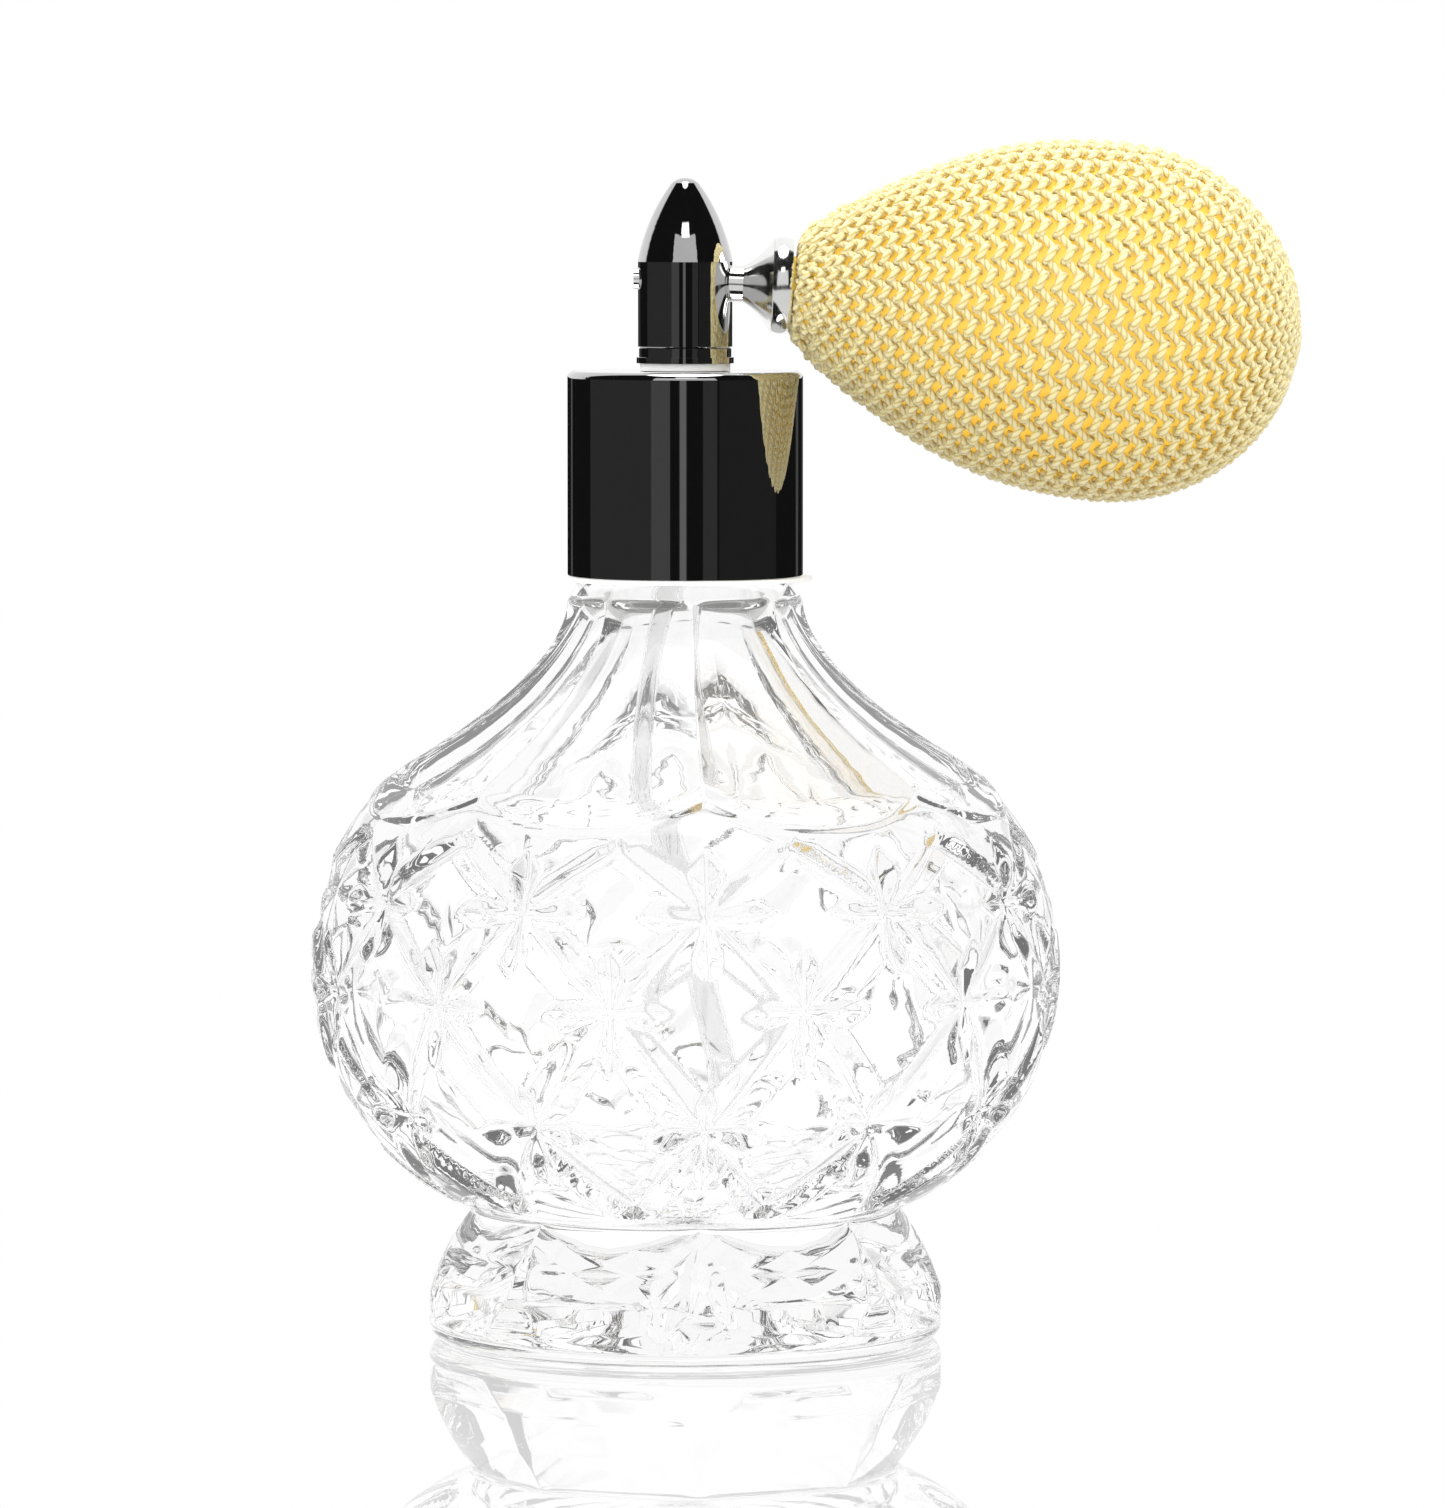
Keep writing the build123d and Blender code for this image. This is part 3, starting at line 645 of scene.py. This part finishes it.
def glass_material():
    """Clear glass, slightly wavy. Its faint glow stands in for light lost after many inner reflections."""
    mat, tree, shader = material("cut_glass")
    shader.inputs["Base Color"].default_value = (1, 1, 1, 1)
    shader.inputs["Transmission Weight"].default_value = 1.0
    shader.inputs["Roughness"].default_value = 0.0
    shader.inputs["IOR"].default_value = 1.47
    shader.inputs["Emission Color"].default_value = (1, 1, 1, 1)
    shader.inputs["Emission Strength"].default_value = 0.022
    wave = noise(tree, 140.0, 2.0)
    bump(tree, wave.outputs["Fac"], shader, 0.25, 0.0004)
    return mat


def chrome_material(name, colour, scratch, polish=0.015):
    """Polished plating with fine worn spots as rough as scratch."""
    mat, tree, shader = material(name)
    shader.inputs["Metallic"].default_value = 1.0
    marks = noise(tree, 900.0, 6.0, 0.7)
    tint = ramp(tree, marks.outputs["Fac"], ((0.3, colour), (0.8, tuple(c * 1.06 for c in colour))))
    tree.links.new(tint.outputs["Color"], shader.inputs["Base Color"])
    rough = ramp(tree, marks.outputs["Fac"], ((0.45, (polish,) * 3), (0.75, (scratch,) * 3)))
    tree.links.new(rough.outputs["Color"], shader.inputs["Roughness"])
    return mat


def translucent(tree, shader, colour_socket, share):
    """Lets part of the light through from behind, as thin rubber and rayon do."""
    through = tree.nodes.new("ShaderNodeBsdfTranslucent")
    tree.links.new(colour_socket, through.inputs["Color"])
    mix = tree.nodes.new("ShaderNodeMixShader")
    mix.inputs[0].default_value = share
    tree.links.new(shader.outputs[0], mix.inputs[1])
    tree.links.new(through.outputs[0], mix.inputs[2])
    tree.links.new(mix.outputs[0], tree.nodes["Material Output"].inputs["Surface"])


def yarn_material():
    """Glossy rayon: three plies twisted together, with painted shade in the grooves between them and painted light
    on their crests.
    """
    mat, tree, shader = material("rayon_yarn")
    places = tree.nodes.new("ShaderNodeUVMap")
    places.uv_map = "yarn"
    split = tree.nodes.new("ShaderNodeSeparateXYZ")
    tree.links.new(places.outputs[0], split.inputs[0])
    lay = maths(tree, "MULTIPLY", split.outputs[0], -math.pi / PLY_LENGTH)
    twist = maths(tree, "MULTIPLY_ADD", split.outputs[1], PLIES * math.pi, lay)
    ply = maths(tree, "ABSOLUTE", maths(tree, "SINE", twist))
    # painted shade: the colour darkens in the grooves between the plies and lightens on their crests
    stops = ((0.0, (0.68, 0.52, 0.16)), (0.45, (0.92, 0.80, 0.38)), (1.0, (0.97, 0.89, 0.54)))
    colours = ramp(tree, ply, stops)
    tree.links.new(colours.outputs["Color"], shader.inputs["Base Color"])
    shader.inputs["Roughness"].default_value = 0.24
    shader.inputs["Specular IOR Level"].default_value = 0.8
    shader.inputs["Sheen Weight"].default_value = 0.5
    shader.inputs["Sheen Roughness"].default_value = 0.3
    bump(tree, ply, shader, 0.8, 0.00009)
    translucent(tree, shader, colours.outputs["Color"], 0.25)
    return mat


def rubber_material():
    """Thin yellow latex. Its glow stands in for daylight that comes through it from behind."""
    mat, tree, shader = material("yellow_rubber")
    tone = noise(tree, 60.0, 3.0)
    colours = ramp(
        tree, tone.outputs["Fac"], ((0.3, (1.0, 0.79, 0.17)), (0.7, (1.0, 0.84, 0.24)))
    )
    tree.links.new(colours.outputs["Color"], shader.inputs["Base Color"])
    shader.inputs["Roughness"].default_value = 0.4
    shader.inputs["Emission Color"].default_value = (1.0, 0.76, 0.12, 1)
    shader.inputs["Emission Strength"].default_value = 0.3
    bump(tree, noise(tree, 700.0).outputs["Fac"], shader, 0.15, 0.0002)
    translucent(tree, shader, colours.outputs["Color"], 0.3)
    return mat


def plastic_material(name, light, dark, rough, clear=0.0):
    """Moulded plastic or rubber, mottled between two tones; clear lets that share of light through."""
    mat, tree, shader = material(name)
    tone = noise(tree, 220.0)
    colours = ramp(tree, tone.outputs["Fac"], ((0.3, dark), (0.7, light)))
    tree.links.new(colours.outputs["Color"], shader.inputs["Base Color"])
    shader.inputs["Roughness"].default_value = rough
    shader.inputs["Transmission Weight"].default_value = clear
    shader.inputs["IOR"].default_value = 1.5 - 0.38 * clear
    bump(tree, noise(tree, 900.0).outputs["Fac"], shader, 0.1, 0.0001)
    return mat


def give(obj, mat):
    obj.data.materials.clear()
    obj.data.materials.append(mat)


# ---------------------------------------------------------------- studio
# Patches of the room: azimuths from -Y in degrees, elevations, brightness, softness of the edge.
LEVEL = (-8.0, 1.0)  # elevations that upright metal mirrors
MIRRORED = (
    ((-33.0, -15.0), LEVEL, 0.075, 0.8),
    ((-4.6, 0.6), LEVEL, 0.17, 1.2),
    ((18.0, 31.0), LEVEL, 0.035, 1.0),
    ((-106.0, -34.0), LEVEL, 0.028, 1.0),
    ((34.0, 100.0), LEVEL, 0.012, 1.0),
    ((-150.0, -146.0), LEVEL, 0.1, 1.0),
    ((140.0, 146.0), LEVEL, 0.08, 1.0),
    ((162.0, 170.0), LEVEL, 0.05, 1.0),
    ((-31.0, 31.0), (2.0, 35.0), 0.7, 1.0),  # window
    ((-10.0, 13.0), (35.5, 44.0), 2.2, 1.5),  # lamp over it
)
FLAGS = (
    ((-70.0, -56.0), (-20.0, 18.0), 0.52, 4.0),
    ((54.0, 62.0), (-18.0, 22.0), 0.28, 4.0),
    ((-42.0, 42.0), (32.0, 50.0), 0.25, 5.0),
    ((-30.0, 30.0), (-30.0, 20.0), 0.06, 8.0),
    ((-126.0, -114.0), (10.0, 36.0), 0.22, 5.0),
    ((106.0, 116.0), (-36.0, -10.0), 0.2, 5.0),
)
DARK_ROOM = 0.009
BACKDROP_EDGE = 112.0  # azimuth where the white backdrop begins on either side
BACKDROP_GAP = (-3.3, 0.8)  # elevations of the dark line between table and backdrop
TABLE_TOP = -9.5
TABLE_LIGHT = 0.7
SOFTBOX_FOOT = 74.0
SOFTBOX_LIGHT = 9.0


def ramp_between(tree, value, start, end, from_level, to_level):
    """A straight ramp from one level to another, flat beyond both ends."""
    node = tree.nodes.new("ShaderNodeMapRange")
    settings = {"From Min": start, "From Max": end, "To Min": from_level, "To Max": to_level}
    for name, setting in settings.items():
        node.inputs[name].default_value = setting
    tree.links.new(value, node.inputs["Value"])
    return node.outputs[0]


def band(tree, value, low, high, soft):
    """1 between low and high, falling to 0 over the distance soft on either side."""
    up = ramp_between(tree, value, low - soft, low, 0, 1)
    down = ramp_between(tree, value, high, high + soft, 1, 0)
    return maths(tree, "MULTIPLY", up, down)


def patches(tree, azimuth, elevation, rows):
    """Sum of rectangles of sky, each of one brightness."""
    total = None
    for azimuths, elevations, level, soft in rows:
        across = band(tree, azimuth, *azimuths, soft)
        area = maths(tree, "MULTIPLY", across, band(tree, elevation, *elevations, soft))
        lit = maths(tree, "MULTIPLY", area, level)
        total = lit if total is None else maths(tree, "ADD", total, lit)
    return total


def mirrored_room(tree, azimuth, elevation):
    """What metal mirrors: a dark room with strips and a window, white above, below and behind."""
    front = band(tree, azimuth, -BACKDROP_EDGE, BACKDROP_EDGE, 6.0)
    gap = band(tree, elevation, *BACKDROP_GAP, 0.4)
    back = maths(tree, "MULTIPLY", maths(tree, "SUBTRACT", 1.0, front), maths(tree, "SUBTRACT", 1.0, gap))
    table = maths(tree, "MULTIPLY", band(tree, elevation, -91.0, TABLE_TOP, 1.5), TABLE_LIGHT)
    softbox = maths(tree, "MULTIPLY", band(tree, elevation, SOFTBOX_FOOT, 91.0, 4.0), SOFTBOX_LIGHT)
    room = maths(tree, "ADD", patches(tree, azimuth, elevation, MIRRORED), table)
    room = maths(tree, "MAXIMUM", room, maths(tree, "MAXIMUM", back, softbox))
    return maths(tree, "ADD", room, DARK_ROOM)


def background(tree, strength):
    """A white background of a fixed or worked-out strength."""
    node = tree.nodes.new("ShaderNodeBackground")
    node.inputs["Color"].default_value = (1, 1, 1, 1)
    if isinstance(strength, float):
        node.inputs["Strength"].default_value = strength
    else:
        tree.links.new(strength, node.inputs["Strength"])
    return node.outputs[0]


def choose(tree, factor, off, on):
    node = tree.nodes.new("ShaderNodeMixShader")
    for slot, source in zip(node.inputs, (factor, off, on)):
        tree.links.new(source, slot)
    return node.outputs[0]


def studio():
    """White to the camera, with a room for metal to mirror and a brighter one seen through glass."""
    world = bpy.data.worlds.new("studio")
    bpy.context.scene.world = world
    world.use_nodes = True
    tree = world.node_tree
    tree.nodes.clear()
    coords = tree.nodes.new("ShaderNodeTexCoord")
    split = tree.nodes.new("ShaderNodeSeparateXYZ")
    tree.links.new(coords.outputs["Generated"], split.inputs[0])
    x, y, z = split.outputs
    degrees = 180 / math.pi
    azimuth = maths(tree, "ARCTAN2", x, maths(tree, "MULTIPLY", y, -1.0))
    azimuth = maths(tree, "MULTIPLY", azimuth, degrees)
    elevation = maths(tree, "MULTIPLY", maths(tree, "ARCSINE", z), degrees)

    mirror = mirrored_room(tree, azimuth, elevation)
    # the glass mirrors the same room, but brightly lit
    sparkle = maths(tree, "ADD", maths(tree, "MULTIPLY", mirror, 0.28), 0.72)
    # through the glass shows nearly white, with a few grey flags
    through = maths(tree, "SUBTRACT", 0.89, patches(tree, azimuth, elevation, FLAGS))
    # matt surfaces get more light from behind than from the front
    fill = maths(tree, "ADD", maths(tree, "MULTIPLY", y, 0.95), 2.55)

    path = tree.nodes.new("ShaderNodeLightPath").outputs
    polished = choose(tree, path["Is Singular Ray"], background(tree, mirror), background(tree, sparkle))
    shown = choose(tree, path["Is Glossy Ray"], background(tree, fill), polished)
    shown = choose(tree, path["Is Transmission Ray"], shown, background(tree, through))
    shown = choose(tree, path["Is Camera Ray"], shown, background(tree, 1.0))
    output = tree.nodes.new("ShaderNodeOutputWorld")
    tree.links.new(shown, output.inputs["Surface"])


def floor():
    """White table that glows evenly and mirrors more at a glancing angle."""
    far = 3000.0
    corners = ((-far, -far, 0), (far, -far, 0), (far, far, 0), (-far, far, 0))
    obj = new_object("studio_floor", corners, ((0, 1, 2, 3),), smooth=False)
    mat, tree, _ = material("white_floor")
    tone = noise(tree, 3.0)
    colours = ramp(tree, tone.outputs["Fac"], ((0.3, (0.99, 0.99, 0.99)), (0.7, (1.0, 1.0, 1.0))))
    glow = tree.nodes.new("ShaderNodeEmission")
    tree.links.new(colours.outputs["Color"], glow.inputs["Color"])
    polish = tree.nodes.new("ShaderNodeBsdfGlossy")
    polish.inputs["Color"].default_value = (1, 1, 1, 1)
    polish.inputs["Roughness"].default_value = 0.0
    share = tree.nodes.new("ShaderNodeFresnel")
    share.inputs["IOR"].default_value = 1.3
    mix = tree.nodes.new("ShaderNodeMixShader")
    tree.links.new(share.outputs[0], mix.inputs[0])
    tree.links.new(glow.outputs[0], mix.inputs[1])
    tree.links.new(polish.outputs[0], mix.inputs[2])
    tree.links.new(mix.outputs[0], tree.nodes["Material Output"].inputs["Surface"])
    give(obj, mat)
    obj.visible_glossy = False
    return obj


def camera():
    data = bpy.data.cameras.new("camera")
    data.lens = 212.0
    data.sensor_width = 36.0
    data.clip_end = 100.0
    obj = bpy.data.objects.new("camera", data)
    bpy.context.scene.collection.objects.link(obj)
    place = Vector((0.0022, -0.905, 0.119))
    target = Vector((0.0038, 0.0, 0.0598))
    obj.location = place
    obj.rotation_euler = (target - place).to_track_quat("-Z", "Y").to_euler()
    bpy.context.scene.camera = obj


# ---------------------------------------------------------------- put it together
camera()
studio()
floor()

scene = bpy.context.scene
scene.view_settings.view_transform = "Standard"

nodes = frame["nodes"]
bottle = glass_bottle()
give(bottle, glass_material())
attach(bottle, "bottle")
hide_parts(*GLASS_NODES)

rubber = rubber_bulb()
give(rubber, rubber_material())
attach(rubber, "head")
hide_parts("bladder_upper", "bladder_lower")

net = knit_net()
give(net, yarn_material())
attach(net, "head")
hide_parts("knit_cover")

for piece in (rubber, net):
    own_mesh(piece)

dark_chrome = chrome_material("dark_chrome", (0.55, 0.55, 0.55), 0.04)
bright_chrome = chrome_material("bright_chrome", (0.86, 0.86, 0.85), 0.2, 0.09)
white_plastic = plastic_material("moulded_plastic", (0.84, 0.84, 0.82), (0.76, 0.76, 0.74), 0.35)
tube_plastic = plastic_material("tube_plastic", (0.96, 0.96, 0.96), (0.92, 0.92, 0.92), 0.1, 0.95)
seal_rubber = plastic_material("seal_rubber", (0.07, 0.07, 0.07), (0.045, 0.045, 0.045), 0.6)
steel = chrome_material("drawn_steel", (0.62, 0.62, 0.60), 0.25)
looks = {
    "dark_chrome": dark_chrome,
    "bright_chrome": bright_chrome,
    "closure_plastic": white_plastic,
    "tube_plastic": tube_plastic,
    "seal_rubber": seal_rubber,
    "feed_steel": steel,
}
for part in frame["record"]["subparts"]:
    slot = part["material_slot"]
    if slot in looks:
        give(nodes[part["node"]], looks[slot])
